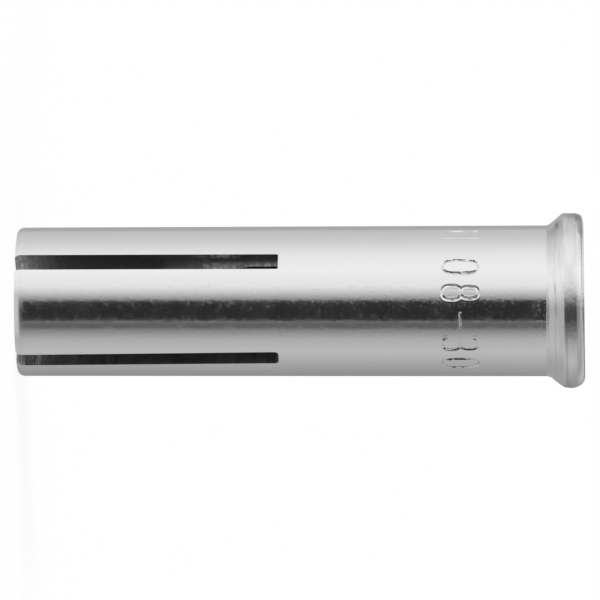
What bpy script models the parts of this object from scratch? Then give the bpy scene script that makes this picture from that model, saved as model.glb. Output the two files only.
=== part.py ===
"""Drop-in anchor for an M6 bolt, standing on its slotted end with the lip up.

Two pieces: a one-piece steel sleeve with a lip, a tapped bore that tapers at its foot and four sawn slots,
and the loose cone plug inside it, which a setting tool drives down to spread the four legs.
Sizes are in metres. The sleeve's axis is Z, and its slotted end stands on Z = 0.
"""

import math

import bmesh
import bpy
from mathutils import Matrix

MM = 0.001

# Outside of the sleeve
LENGTH = 30.0 * MM
TIP_DIAMETER = 7.85 * MM
BODY_DIAMETER = 7.97 * MM
TIP_ROUND = 0.42 * MM

# Lip, upset at the mouth. Its top edge is worn down further across the face than down the rim.
LIP_DIAMETER = 9.27 * MM
LIP_RIM_HEIGHT = 1.09 * MM
LIP_FLARE_HEIGHT = 0.87 * MM
LIP_ROUND_ON_FACE = 0.68 * MM
LIP_ROUND_ON_RIM = 0.46 * MM
LIP_EDGE_ROUND = 0.16 * MM
LIP_NECK_ROUND = 0.3 * MM

# Bore, from the mouth down: thread, chamber for the plug, shoulder, long taper, straight tip bore
MOUTH_CHAMFER = 0.75 * MM
THREAD_MINOR_DIAMETER = 5.0 * MM
THREAD_DEPTH = 13.0 * MM
THREAD_PITCH = 1.0 * MM
THREAD_CUT = 0.54 * MM
THREAD_RUN_OUT = 1.2 * MM
CHAMBER_RELIEF = 0.25 * MM
CHAMBER_LENGTH = 4.7 * MM
SHOULDER_STEP = 0.4 * MM
SHOULDER_HEIGHT = 1.2 * MM
TIP_BORE_DIAMETER = 3.3 * MM
TIP_BORE_HEIGHT = 3.0 * MM
TIP_BORE_ROUND = 0.2 * MM

# Two saw cuts right across the sleeve make the four slots. The second blade had more worn corners
# than the first and ran a little askew.
SLOT_WIDTH = 0.9 * MM
SLOT_LENGTH = 13.87 * MM
FIRST_BLADE_CORNER_ROUND = 0.05 * MM
SECOND_BLADE_CORNER_ROUND = 0.16 * MM
FIRST_CUT_DEG = 57.9
CUT_CROSSING_DEG = 81.2
SECOND_CUT_LEAN_DEG = -0.88
SAW_OVERRUN = 1.0 * MM

# Cone plug
PLUG_LENGTH = 8.0 * MM
PLUG_SHANK_LENGTH = 2.2 * MM
PLUG_NOSE_DIAMETER = 3.7 * MM
PLUG_CLEARANCE = 0.15 * MM
PLUG_REAR_ROUND = 0.15 * MM
PLUG_NOSE_ROUND = 0.35 * MM
PLUG_SEAT_GAP = 0.3 * MM

# Facets. A thread's corners lie on whole facets where AROUND is a multiple of 16.
AROUND = 48
ROUND_STEPS = 4

# Thread form: each corner's place in one pitch, and how much of the full depth is cut there
THREAD_FORM = ((0.125, 0.0), (0.4375, 1.0), (0.5625, 1.0), (0.875, 0.0))

CHAMBER_DIAMETER = THREAD_MINOR_DIAMETER + 2 * CHAMBER_RELIEF
SEAT_DIAMETER = CHAMBER_DIAMETER - 2 * SHOULDER_STEP
THREAD_END = LENGTH - THREAD_DEPTH
SEAT_HEIGHT = THREAD_END - CHAMBER_LENGTH - SHOULDER_HEIGHT
PLUG_DIAMETER = CHAMBER_DIAMETER - 2 * PLUG_CLEARANCE


def clear_scene():
    for old in list(bpy.data.objects):
        bpy.data.objects.remove(old, do_unlink=True)


def steel(name, colour, roughness):
    """A bare or plated metal with one colour."""
    material = bpy.data.materials.new(name)
    material.use_nodes = True
    shader = material.node_tree.nodes["Principled BSDF"]
    shader.inputs["Base Color"].default_value = (*colour, 1.0)
    shader.inputs["Metallic"].default_value = 1.0
    shader.inputs["Roughness"].default_value = roughness
    return material


def towards(start, end, reach):
    """The way from start to end as a step of length reach, or less than half of that way."""
    across, up = end[0] - start[0], end[1] - start[1]
    length = math.hypot(across, up)
    share = min(reach, 0.48 * length) / length
    return across * share, up * share


def rounded_outline(corners):
    """An outline through corners, each a radius, a height and how far its rounding reaches.

    A rounding is a quarter of an ellipse. It has two reaches where it is longer on one side of the
    corner than on the other, the side towards the corner before it first.
    """
    points = []
    for i, (radius, height, *reaches) in enumerate(corners):
        if not reaches:
            points.append((radius, height))
            continue
        before = towards((radius, height), corners[i - 1], reaches[0])
        after = towards((radius, height), corners[(i + 1) % len(corners)], reaches[-1])
        for step in range(ROUND_STEPS + 1):
            turn = math.pi / 2 * step / ROUND_STEPS
            share_before, share_after = 1 - math.sin(turn), 1 - math.cos(turn)
            points.append((
                radius + before[0] * share_before + after[0] * share_after,
                height + before[1] * share_before + after[1] * share_after,
            ))
    return points


def turned(name, outline, material, added_surface=None):
    """A solid of revolution about Z. Its outline ends on the axis, or where an added surface joins it."""
    shape = bmesh.new()
    ring = [shape.verts.new((radius, 0.0, height)) for radius, height in outline]
    for start, end in zip(ring, ring[1:]):
        shape.edges.new((start, end))
    bmesh.ops.spin(
        shape,
        geom=shape.verts[:] + shape.edges[:],
        cent=(0, 0, 0),
        axis=(0, 0, 1),
        angle=math.tau,
        steps=AROUND,
        use_merge=True,
    )
    if added_surface:
        added_surface(shape)
    bmesh.ops.remove_doubles(shape, verts=shape.verts, dist=1e-6)
    bmesh.ops.recalc_face_normals(shape, faces=shape.faces)
    mesh = bpy.data.meshes.new(name)
    shape.to_mesh(mesh)
    shape.free()
    mesh.materials.append(material)
    mesh.shade_smooth()
    mesh.set_sharp_from_angle(angle=math.radians(30))
    piece = bpy.data.objects.new(name, mesh)
    bpy.context.scene.collection.objects.link(piece)
    return piece


def bore_corners():
    """The bore from the end of its thread down to the slotted end."""
    minor = THREAD_MINOR_DIAMETER / 2
    chamber = CHAMBER_DIAMETER / 2
    return [
        (minor, THREAD_END),
        (chamber, THREAD_END - CHAMBER_RELIEF),
        (chamber, SEAT_HEIGHT + SHOULDER_HEIGHT),
        (SEAT_DIAMETER / 2, SEAT_HEIGHT),
        (TIP_BORE_DIAMETER / 2, TIP_BORE_HEIGHT),
        (TIP_BORE_DIAMETER / 2, 0.0, TIP_BORE_ROUND),
    ]


def tapped_radius(height, cut):
    """Radius of the tapped bore, from how much of the thread's depth is cut at this point."""
    fade = min(1.0, (height - THREAD_END) / THREAD_RUN_OUT)
    countersink = max(0.0, height - (LENGTH - MOUTH_CHAMFER))
    return THREAD_MINOR_DIAMETER / 2 + max(THREAD_CUT * cut * fade, countersink)


def tapped_bore(shape):
    """The right-hand thread, a helical surface from its run-out up to the countersunk mouth."""
    turns = math.ceil(THREAD_DEPTH / THREAD_PITCH)
    corners = [(turn + place, cut) for turn in range(-2, turns + 1) for place, cut in THREAD_FORM]
    columns = []
    for i in range(AROUND + 1):
        turned_by = i / AROUND
        angle = math.tau * turned_by
        column = []
        for pitches, cut in corners:
            height = THREAD_END + THREAD_PITCH * (pitches + turned_by)
            height = max(THREAD_END, min(LENGTH, height))
            radius = tapped_radius(height, cut)
            place = (radius * math.cos(angle), radius * math.sin(angle), height)
            column.append(shape.verts.new(place))
        columns.append(column)
    faces = []
    for column, following in zip(columns, columns[1:]):
        for i in range(len(corners) - 1):
            corner_loop = (column[i], column[i + 1], following[i + 1], following[i])
            faces.append(shape.faces.new(corner_loop))
    bmesh.ops.triangulate(shape, faces=faces)


def sleeve_outline():
    """The sleeve's wall from the end of its thread down the bore, up the outside and over the lip."""
    rim_foot = LENGTH - LIP_RIM_HEIGHT
    outside = [
        (TIP_DIAMETER / 2, 0.0, TIP_ROUND),
        (BODY_DIAMETER / 2, rim_foot - LIP_FLARE_HEIGHT, LIP_NECK_ROUND),
        (LIP_DIAMETER / 2, rim_foot, LIP_EDGE_ROUND),
        (LIP_DIAMETER / 2, LENGTH, LIP_ROUND_ON_RIM, LIP_ROUND_ON_FACE),
        (THREAD_MINOR_DIAMETER / 2 + MOUTH_CHAMFER, LENGTH),
    ]
    return rounded_outline(bore_corners() + outside)


def plug_corners():
    """The cone plug from its rear face down to its nose, with its rear face at height 0."""
    return [
        (0.0, 0.0),
        (PLUG_DIAMETER / 2, 0.0, PLUG_REAR_ROUND),
        (PLUG_DIAMETER / 2, -PLUG_SHANK_LENGTH),
        (PLUG_NOSE_DIAMETER / 2, -PLUG_LENGTH, PLUG_NOSE_ROUND),
        (0.0, -PLUG_LENGTH),
    ]


def height_as_wide(outline, radius):
    """The lowest height at which an outline that widens from its foot up has this radius."""
    rising = sorted((z, r) for r, z in outline)
    for (low, narrow), (high, wide) in zip(rising, rising[1:]):
        if wide >= radius:
            return low + (high - low) * max(0.0, radius - narrow) / max(wide - narrow, 1e-9)
    return rising[-1][0]


def plug_rear_height():
    """Where the plug's rear face lies when its cone rests in the bore, short of touching it."""
    bore = [(corner[0], corner[1]) for corner in bore_corners() if corner[1] < THREAD_END]
    cone = [(corner[0], corner[1]) for corner in plug_corners() if corner[0] > 0]
    on_plug_corners = [height_as_wide(bore, radius) - height for radius, height in cone]
    nose, rear = min(r for r, _ in cone), max(r for r, _ in cone)
    on_bore_corners = [height - height_as_wide(cone, r) for r, height in bore if nose < r < rear]
    return max(on_plug_corners + on_bore_corners) + PLUG_SEAT_GAP


def saw_cut(name, turn_deg, lean_deg, corner_round):
    """A blade's path right across the sleeve. It leans about the line where the slots end."""
    across = LIP_DIAMETER + 2 * SAW_OVERRUN
    height = SLOT_LENGTH + SAW_OVERRUN
    shape = bmesh.new()
    bmesh.ops.create_cube(shape, size=1.0)
    bmesh.ops.scale(shape, vec=(across, SLOT_WIDTH, height), verts=shape.verts)
    bmesh.ops.translate(shape, vec=(0, 0, -height / 2), verts=shape.verts)
    root_edges = [
        edge
        for edge in shape.edges
        if all(abs(v.co.z) < height / 4 for v in edge.verts)
        and abs(edge.verts[0].co.x - edge.verts[1].co.x) > across / 2
    ]
    corner = min(corner_round, 0.45 * SLOT_WIDTH)
    bmesh.ops.bevel(shape, geom=root_edges, offset=corner, segments=3, profile=0.5, affect="EDGES")
    lean = Matrix.Rotation(math.radians(lean_deg), 4, "X")
    turn = Matrix.Rotation(math.radians(turn_deg), 4, "Z")
    bmesh.ops.transform(shape, matrix=turn @ lean, verts=shape.verts)
    bmesh.ops.recalc_face_normals(shape, faces=shape.faces)
    mesh = bpy.data.meshes.new(name)
    shape.to_mesh(mesh)
    shape.free()
    cutter = bpy.data.objects.new(name, mesh)
    cutter.location.z = SLOT_LENGTH
    cutter.hide_render = True
    cutter.display_type = "WIRE"
    bpy.context.scene.collection.objects.link(cutter)
    return cutter


def anchor_sleeve():
    zinc = steel("bright zinc plating", (0.74, 0.75, 0.76), 0.24)
    sleeve = turned("anchor_sleeve", sleeve_outline(), zinc, tapped_bore)
    second_cut_deg = FIRST_CUT_DEG + CUT_CROSSING_DEG
    cuts = [
        saw_cut("first_saw_cut", FIRST_CUT_DEG, 0.0, FIRST_BLADE_CORNER_ROUND),
        saw_cut("second_saw_cut", second_cut_deg, SECOND_CUT_LEAN_DEG, SECOND_BLADE_CORNER_ROUND),
    ]
    for cutter in cuts:
        slots = sleeve.modifiers.new(cutter.name, "BOOLEAN")
        slots.operation = "DIFFERENCE"
        slots.solver = "EXACT"
        slots.object = cutter
        cutter.parent = sleeve
    return sleeve


def expander_plug():
    bare = steel("bare cold headed steel", (0.5, 0.5, 0.51), 0.35)
    plug = turned("expander_plug", rounded_outline(plug_corners()), bare)
    plug.location.z = plug_rear_height()
    return plug


def build():
    clear_scene()
    anchor = bpy.data.objects.new("drop_in_anchor", None)
    bpy.context.scene.collection.objects.link(anchor)
    for piece in (anchor_sleeve(), expander_plug()):
        piece.parent = anchor
    bpy.context.view_layer.update()


build()
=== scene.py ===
"""Looks of a lipped drop-in anchor: its zinc plated sleeve, the cone plug inside and a photo studio.

The sleeve stands on its slotted end with its axis on Z. Sizes are in metres. An angle above the front is
taken round the axis from the side that faces the camera, and grows towards the top of the photograph.
"""

import math
from functools import partial

import bmesh
import bpy
from mathutils import Matrix, Vector


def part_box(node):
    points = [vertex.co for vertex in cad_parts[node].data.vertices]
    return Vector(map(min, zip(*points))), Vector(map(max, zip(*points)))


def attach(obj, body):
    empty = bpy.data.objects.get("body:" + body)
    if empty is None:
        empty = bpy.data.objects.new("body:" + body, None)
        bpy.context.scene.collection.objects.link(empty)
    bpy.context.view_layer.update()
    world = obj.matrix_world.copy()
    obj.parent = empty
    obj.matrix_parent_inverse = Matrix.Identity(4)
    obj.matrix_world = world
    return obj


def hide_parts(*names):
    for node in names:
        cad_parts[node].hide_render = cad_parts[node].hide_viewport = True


bl_info = {
    "name": "Drop-in Anchor",
    "version": (1, 0, 0),
    "blender": (4, 5, 0),
    "location": "3D View > Sidebar > Anchor",
    "description": "Builds a lipped drop-in anchor, its cone plug and the studio that lights it",
    "category": "Mesh",
}

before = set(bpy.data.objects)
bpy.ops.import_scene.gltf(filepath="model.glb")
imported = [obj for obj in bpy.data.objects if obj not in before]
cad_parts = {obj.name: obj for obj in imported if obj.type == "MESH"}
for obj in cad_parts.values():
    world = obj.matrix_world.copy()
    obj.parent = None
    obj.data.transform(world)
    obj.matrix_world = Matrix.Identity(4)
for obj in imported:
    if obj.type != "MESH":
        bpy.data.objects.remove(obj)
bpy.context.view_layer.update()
SLEEVE_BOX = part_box("anchor_sleeve")
PLUG_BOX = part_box("expander_plug")

MM = 0.001
TAU = math.tau


def srgb(hex_code):
    """An sRGB hex value as linear red, green and blue."""
    channels = (int(hex_code[i:i + 2], 16) / 255 for i in (1, 3, 5))
    return tuple(c / 12.92 if c <= 0.04045 else ((c + 0.055) / 1.055) ** 2.4 for c in channels)


def length_property(name, description, size):
    """A size in metres."""
    return bpy.props.FloatProperty(name=name, description=description, default=size, min=0.0, unit="LENGTH")


def amount_property(name, description, amount):
    """A plain number."""
    return bpy.props.FloatProperty(name=name, description=description, default=amount, min=0.0)


def angle_property(name, description, degrees):
    """An angle, with its default in degrees."""
    return bpy.props.FloatProperty(
        name=name, description=description, default=math.radians(degrees), subtype="ANGLE")


def colour_property(name, description, hex_code):
    """A colour, with its default as an sRGB hex value."""
    return bpy.props.FloatVectorProperty(
        name=name, description=description, default=srgb(hex_code), min=0.0, max=1.0, size=3, subtype="COLOR")


class SleeveSizes(bpy.types.PropertyGroup):
    """Outside, bore and slots of the sleeve."""

    length: length_property("Length", "Slotted end to lip face", SLEEVE_BOX[1][2] - SLEEVE_BOX[0][2])
    tip_diameter: length_property("Tip Diameter", "Outside at the slotted end", 7.85 * MM)
    body_diameter: length_property("Body Diameter", "Outside just under the lip", 7.97 * MM)
    tip_round: length_property("Tip Round", "Rounding of the slotted end's outer edge", 0.34 * MM)
    lip_diameter: length_property("Lip Diameter", "Outside of the lip", SLEEVE_BOX[1][0] - SLEEVE_BOX[0][0])
    rim_height: length_property("Rim Height", "Straight rim of the lip", 1.14 * MM)
    flare_height: length_property("Flare Height", "Cone from the body out to the rim", 0.79 * MM)
    face_round: length_property("Face Round", "Reach of the lip's rounding across its face", 0.68 * MM)
    rim_round: length_property("Rim Round", "Reach of the lip's rounding down its rim", 0.46 * MM)
    edge_round: length_property("Edge Round", "Rounding where the flare meets the rim", 0.06 * MM)
    neck_round: length_property("Neck Round", "Rounding where the body meets the flare", 0.15 * MM)
    face_lean: length_property("Face Lean", "How far the lip is out of square, each way", 0.052 * MM)
    mouth_chamfer: length_property("Mouth Chamfer", "Countersink of the mouth", 0.75 * MM)
    thread_depth: length_property("Thread Depth", "Lip face to the end of the thread", 13.0 * MM)
    chamber_relief: length_property("Chamber Relief", "Step out behind the thread", 0.25 * MM)
    chamber_length: length_property("Chamber Length", "Straight bore that holds the plug", 4.7 * MM)
    shoulder_step: length_property("Shoulder Step", "Step in at the plug's seat", 0.4 * MM)
    shoulder_height: length_property("Shoulder Height", "Height of that step", 1.2 * MM)
    tip_bore: length_property("Tip Bore", "Bore at the slotted end", 3.3 * MM)
    tip_bore_height: length_property("Tip Bore Height", "Straight bore at the slotted end", 3.0 * MM)
    tip_bore_round: length_property("Tip Bore Round", "Rounding of the bore's lower edge", 0.2 * MM)
    slot_width: length_property("Slot Width", "Width of the saw cuts", 0.9 * MM)
    slot_length: length_property("Slot Length", "Slotted end to the slots' root", 13.87 * MM)
    first_corner: length_property("First Blade Corner", "Rounding left in the first cut's root", 0.05 * MM)
    second_corner: length_property("Second Blade Corner", "Rounding left in the second cut's root", 0.2 * MM)
    first_cut: angle_property("First Cut", "Direction of the first saw cut", 57.9)
    cut_crossing: angle_property("Cut Crossing", "From the first cut to the second", 81.2)
    second_cut_lean: angle_property("Second Cut Lean", "How far the second blade ran askew", -0.88)
    edge_break: length_property("Edge Break", "Width of the broken edges along the cuts", 0.03 * MM)


class ThreadSizes(bpy.types.PropertyGroup):
    """Tapped thread of the mouth."""

    minor_diameter: length_property("Minor Diameter", "Bore at the thread's crests", 5.0 * MM)
    pitch: length_property("Pitch", "Rise of the thread in one turn", 1.0 * MM)
    depth: length_property("Depth", "Crest to root", 0.54 * MM)
    run_out: length_property("Run Out", "Height over which the tap's lead fades", 1.2 * MM)


class MarkSizes(bpy.types.PropertyGroup):
    """Plain numbers struck round the sleeve under the lip."""

    foot: length_property("Foot", "Slotted end to the foot of the figures", 22.5 * MM)
    height: length_property("Height", "Height of the figures", 1.88 * MM)
    width: length_property("Width", "Width of a figure", 0.76 * MM)
    pitch: angle_property("Pitch", "Angle from one figure to the next", 20.6)
    first: angle_property("First", "Angle of the first figure above the front", 27.0)
    stroke: length_property("Stroke", "Width of a struck line", 0.14 * MM)
    depth: length_property("Depth", "Depth of a struck line", 0.065 * MM)
    pushed_up: amount_property("Pushed Up", "Metal beside a line, as a share of its depth", 0.15)
    unevenness: amount_property("Unevenness", "How much the depth varies from one blow to another", 2.2)


class PlugSizes(bpy.types.PropertyGroup):
    """Cone plug."""

    diameter: length_property("Diameter", "Widest part", PLUG_BOX[1][0] - PLUG_BOX[0][0])
    length: length_property("Length", "Rear face to nose", PLUG_BOX[1][2] - PLUG_BOX[0][2])
    shank: length_property("Shank", "Straight part behind the cone", 2.2 * MM)
    nose: length_property("Nose Diameter", "Diameter at the nose", 3.7 * MM)
    rear_round: length_property("Rear Round", "Rounding of the rear edge", 0.15 * MM)
    nose_round: length_property("Nose Round", "Rounding of the nose", 0.35 * MM)


class Finishes(bpy.types.PropertyGroup):
    """Colours of the metals."""

    zinc: colour_property("Zinc", "Bright zinc plating", "#E2E2E2")
    # Also the colour towards which the lip's painted shade and painted dark reflection darken it
    zinc_in_rings_and_painted_shade: colour_property("Worn Zinc", "Zinc plating where the lip was worked most", "#8E8E8E")
    # The slots' dark base: partly the cut's own colour, partly painted shade of the narrow cuts
    sawn_plating_and_painted_shade: colour_property("Sawn Steel", "Thinnest plating down in the slots", "#6A6A6A")
    bore: colour_property("Bore", "Plated steel inside the bore", "#D2D2D2")
    plug: colour_property("Plug", "Bare steel of the plug", "#C9C7C4")


def towards(start, end, reach):
    """The way from start to end as a step of length reach, or less than half of that way."""
    across, up = end[0] - start[0], end[1] - start[1]
    length = math.hypot(across, up)
    share = min(reach, 0.48 * length) / length
    return across * share, up * share


def rounded(before, corner, after, reach_before, reach_after, steps):
    """Points of the quarter ellipse that rounds a corner of a profile."""
    back = towards(corner, before, reach_before)
    on = towards(corner, after, reach_after)
    points = []
    for step in range(steps + 1):
        turn = math.pi / 2 * step / steps
        share_back, share_on = 1 - math.sin(turn), 1 - math.cos(turn)
        points.append((
            corner[0] + back[0] * share_back + on[0] * share_on,
            corner[1] + back[1] * share_back + on[1] * share_on,
        ))
    return points


def partway(start, end, share):
    """The point of a profile at a share of the way from one point to another."""
    return start[0] + (end[0] - start[0]) * share, start[1] + (end[1] - start[1]) * share


def spread(start, end, step):
    """Even values from just after start to end, no further apart than step."""
    count = max(1, math.ceil((end - start) / step - 1e-6))
    return [start + (end - start) * i / count for i in range(1, count + 1)]


def between(points, z):
    """The radius at a height of a profile given as (radius, height) points that rise."""
    for (r0, z0), (r1, z1) in zip(points, points[1:]):
        if z0 <= z <= z1 and z1 > z0:
            return r0 + (r1 - r0) * (z - z0) / (z1 - z0)
    return points[0][0] if z < points[0][1] else points[-1][0]


SLOTS = 4
# Columns of the sleeve's grid across a slot and across a leg
GAP_COLUMNS = 15
LEG_COLUMNS = 81
QUARTER = GAP_COLUMNS + LEG_COLUMNS
COLUMNS = SLOTS * QUARTER
# Columns of the grid for each column of the thread, and rows of the thread for each of its turns
THREAD_SHARE = 3
THREAD_ROWS = 11
# Faces through the wall, and along the roundings of the tip, of the lip's edges and of its brow
WALL_STEPS = 4
TIP_STEPS = 5
LIP_STEPS = 8
BROW_STEPS = 12
# Greatest heights of a row of faces
SLOT_ROW = 0.6 * MM
BODY_ROW = 1.4 * MM
STRUCK_ROW = 0.085 * MM
NECK_ROW = 0.9 * MM
LIP_ROW = 0.036 * MM
# Narrow rows over the slots' root and under the neck, and how far the fine rows go past the figures
ROOT_STRIP = 0.15 * MM
NECK_STRIP = 0.05 * MM
STRUCK_MARGIN = 0.25 * MM


class SleeveShape:
    """Profiles and columns of the sleeve's surface grid, from the sizes in the panel."""

    def __init__(self, sizes, thread):
        self.sizes = sizes
        self.minor = thread.minor_diameter / 2
        self.chamber = self.minor + sizes.chamber_relief
        self.thread_end = sizes.length - sizes.thread_depth
        self.chamber_top = self.thread_end - sizes.chamber_relief
        self.shoulder_top = self.thread_end - sizes.chamber_length
        self.seat = self.shoulder_top - sizes.shoulder_height
        self.neck = sizes.length - sizes.rim_height - sizes.flare_height
        self.root = sizes.slot_length
        self.outside_line = [(sizes.tip_diameter / 2, 0.0), (sizes.body_diameter / 2, self.neck)]
        tip_bore = sizes.tip_bore / 2
        self.bore_line = [
            (tip_bore, 0.0),
            (tip_bore, sizes.tip_bore_height),
            (self.chamber - sizes.shoulder_step, self.seat),
            (self.chamber, self.shoulder_top),
            (self.chamber, self.chamber_top),
        ]

    def tip_rows(self):
        """Matching rows of the outside and the bore at the slotted end, from its face upwards."""
        outer, bore = self.outside_line, self.bore_line
        round_out, round_in = self.sizes.tip_round, self.sizes.tip_bore_round
        outside = rounded(bore[0], outer[0], outer[1], round_out, round_out, TIP_STEPS)
        inside = rounded(outer[0], bore[0], bore[1], round_in, round_in, TIP_STEPS)
        return outside, inside

    def slot_heights(self):
        """Heights of the rows in the slotted length, above the tip's rounding."""
        marks = [
            self.sizes.tip_round,
            self.sizes.tip_bore_height,
            self.seat,
            self.shoulder_top,
            self.root - max(self.sizes.first_corner, self.sizes.second_corner),
        ]
        heights = []
        for low, high in zip(marks, marks[1:]):
            heights += spread(low, high, SLOT_ROW)
        return heights

    def lip_rows(self):
        """Rows of the outside from under the lip to the flat of its face."""
        s = self.sizes
        neck = (s.body_diameter / 2, self.neck)
        foot = (s.lip_diameter / 2, s.length - s.rim_height)
        brow = (s.lip_diameter / 2, s.length)
        mouth = (self.minor + s.mouth_chamfer, s.length)
        rows = rounded(self.outside_line[0], neck, foot, s.neck_round, s.neck_round, LIP_STEPS)
        for corner in (
            rounded(neck, foot, brow, s.edge_round, s.edge_round, LIP_STEPS),
            rounded(foot, brow, mouth, s.rim_round, s.face_round, BROW_STEPS),
        ):
            start, end = rows[-1], corner[0]
            shares = spread(0.0, 1.0, LIP_ROW / math.dist(start, end))[:-1]
            rows += [partway(start, end, share) for share in shares]
            rows += corner
        return rows

    def angle(self, column, radius, height):
        """Where a column lies. The columns at a slot's sides keep to its flat walls at any radius."""
        quarter, step = divmod(column, QUARTER)
        if step <= GAP_COLUMNS:
            across = -0.5 * self.sizes.slot_width * math.cos(math.pi * step / GAP_COLUMNS)
            return self.slot_angle(quarter, across, radius, height)
        half = self.sizes.slot_width / 2
        start = self.slot_angle(quarter, half, radius, height)
        end = self.slot_angle(quarter + 1, -half, radius, height)
        return start + (end - start) * (step - GAP_COLUMNS) / LEG_COLUMNS

    def slot_angle(self, quarter, across, radius, height):
        """The direction of a point of a slot, from how far it lies across the slot."""
        turns, slot = divmod(quarter, SLOTS)
        second = slot % 2
        centre = self.sizes.first_cut + second * self.sizes.cut_crossing + math.pi * (slot // 2)
        lean = math.tan(self.sizes.second_cut_lean) * second * (1 if slot < 2 else -1)
        shift = max(0.0, self.root - height) * lean
        return TAU * turns + centre + math.asin((across + shift) / radius)

    def root_height(self, column):
        """How high the saw went at a column of a slot."""
        half = self.sizes.slot_width / 2
        corner = self.sizes.second_corner if column // QUARTER % 2 else self.sizes.first_corner
        across = abs(half * math.cos(math.pi * (column % QUARTER) / GAP_COLUMNS))
        into = max(0.0, across - (half - corner))
        return self.root - corner + math.sqrt(max(0.0, corner ** 2 - into ** 2))

    def place(self, column, radius, height):
        """The point of a column at a radius and a height."""
        turn = self.angle(column, radius, height)
        return Vector((radius * math.cos(turn), radius * math.sin(turn), height))


def in_gap(column):
    """Whether the strip from a column to the next lies in a slot."""
    return column % QUARTER < GAP_COLUMNS


def off_walls(column):
    """Whether a column lies in a slot, clear of both of its walls."""
    return 0 < column % QUARTER < GAP_COLUMNS


# Material slots of the sleeve
OUTSIDE, CUT, BORE = 0, 1, 2
# Columns that a strip of a leg starts from, columns on the legs, and columns on the walls of the slots
LEGS = [c for c in range(COLUMNS) if not in_gap(c)]
ON_LEGS = [c for c in range(COLUMNS) if not off_walls(c)]
WALLS = [c for c in range(COLUMNS) if c % QUARTER in (0, GAP_COLUMNS)]


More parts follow.
